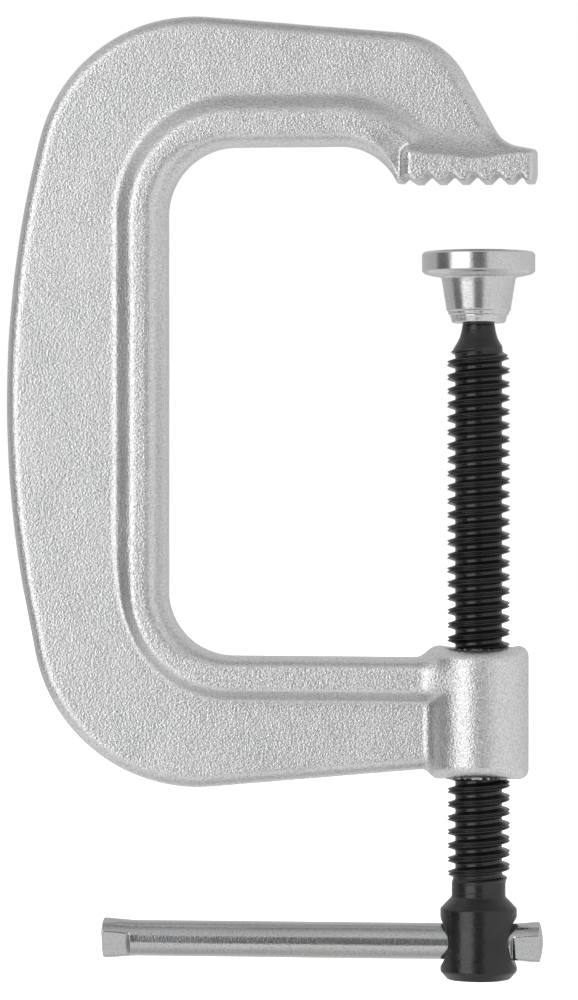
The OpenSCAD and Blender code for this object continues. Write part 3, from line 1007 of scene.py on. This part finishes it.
def wmath(op, a, b=None):
    n = wt.nodes.new("ShaderNodeMath")
    n.operation = op
    for i, v in enumerate((a, b)):
        if v is None:
            continue
        if isinstance(v, (int, float)):
            n.inputs[i].default_value = v
        else:
            wt.links.new(v, n.inputs[i])
    return n.outputs["Value"]


def wramp(fac, stops):
    n = wt.nodes.new("ShaderNodeValToRGB")
    n.color_ramp.interpolation = "EASE"
    e = n.color_ramp.elements
    while len(e) < len(stops):
        e.new(0.5)
    for el, (pos, v) in zip(e, stops):
        el.position = pos
        el.color = (v, v, v, 1)
    wt.links.new(fac, n.inputs["Fac"])
    return n.outputs["Color"]


# a wrap of pale card around the object, with a tall softbox at the front left
# and two narrow dark gaps beside it
tc = wt.nodes.new("ShaderNodeTexCoord")
sep = wt.nodes.new("ShaderNodeSeparateXYZ")
wt.links.new(tc.outputs["Generated"], sep.inputs[0])
azi = wmath("ARCTAN2", sep.outputs["X"], wmath("MULTIPLY", sep.outputs["Y"], -1.0))
turn01 = wmath("ADD", wmath("DIVIDE", azi, 2 * math.pi), 0.5)


def at(deg):
    return 0.5 + deg / 360.0


# radiance stops by direction; the ramps hold half of each value
ring = wramp(turn01, [(at(-180), 0.28), (at(-118), 0.26), (at(-94), 0.24), (at(-86), 0.07), (at(-58), 0.07),
                      (at(-50), 0.93), (at(-18), 0.93), (at(-9), 0.08), (at(15), 0.08), (at(23), 0.37),
                      (at(75), 0.37), (at(110), 0.34), (at(180), 0.28)])
under = wramp(turn01, [(at(-180), 0.28), (at(-118), 0.26), (at(-94), 0.24), (at(-86), 0.10), (at(-58), 0.12),
                       (at(-50), 0.38), (at(-18), 0.38), (at(-9), 0.08), (at(15), 0.08), (at(23), 0.37),
                       (at(75), 0.37), (at(110), 0.34), (at(180), 0.28)])
elev = wmath("ADD", wmath("DIVIDE", wmath("ARCSINE", sep.outputs["Z"]), math.pi), 0.5)


def up(deg):
    return 0.5 + deg / 180.0


side = wramp(elev, [(up(-30), 0.0), (up(-18), 1.0), (up(14), 1.0), (up(30), 0.0)])
cap = wramp(elev, [(0.0, 0.25), (up(-70), 0.28), (up(-50), 0.36), (up(-20), 0.41), (up(20), 0.34), (up(50), 0.28),
                   (up(72), 0.20), (up(82), 0.13), (1.0, 0.12)])
n_mix = wt.nodes.new("ShaderNodeMix")
n_mix.data_type = "RGBA"
rg = [s for s in n_mix.inputs if s.type == "RGBA"]
wt.links.new(side, n_mix.inputs[0])
wt.links.new(cap, rg[0])
n_low = wt.nodes.new("ShaderNodeMix")
n_low.data_type = "RGBA"
lg = [s for s in n_low.inputs if s.type == "RGBA"]
wt.links.new(wramp(elev, [(up(-17), 0.0), (up(-8), 1.0)]), n_low.inputs[0])
wt.links.new(under, lg[0])
wt.links.new(ring, lg[1])
wt.links.new([s for s in n_low.outputs if s.type == "RGBA"][0], rg[1])
mixed = [s for s in n_mix.outputs if s.type == "RGBA"][0]
boost = wt.nodes.new("ShaderNodeVectorMath")
boost.operation = "SCALE"
wt.links.new(mixed, boost.inputs[0])
boost.inputs["Scale"].default_value = 2.0
lp = wt.nodes.new("ShaderNodeLightPath")
n_cam = wt.nodes.new("ShaderNodeMix")
n_cam.data_type = "RGBA"
rg = [s for s in n_cam.inputs if s.type == "RGBA"]
wt.links.new(lp.outputs["Is Camera Ray"], n_cam.inputs[0])
wt.links.new(boost.outputs["Vector"], rg[0])
rg[1].default_value = (1.0, 1.0, 1.0, 1)
wt.links.new([s for s in n_cam.outputs if s.type == "RGBA"][0], bg.inputs["Color"])
bg.inputs["Strength"].default_value = 1.0

bpy.context.scene.view_settings.view_transform = "Standard"
bpy.context.scene.view_settings.look = "None"

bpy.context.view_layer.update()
print("ready", round(time.time() - T0, 1))
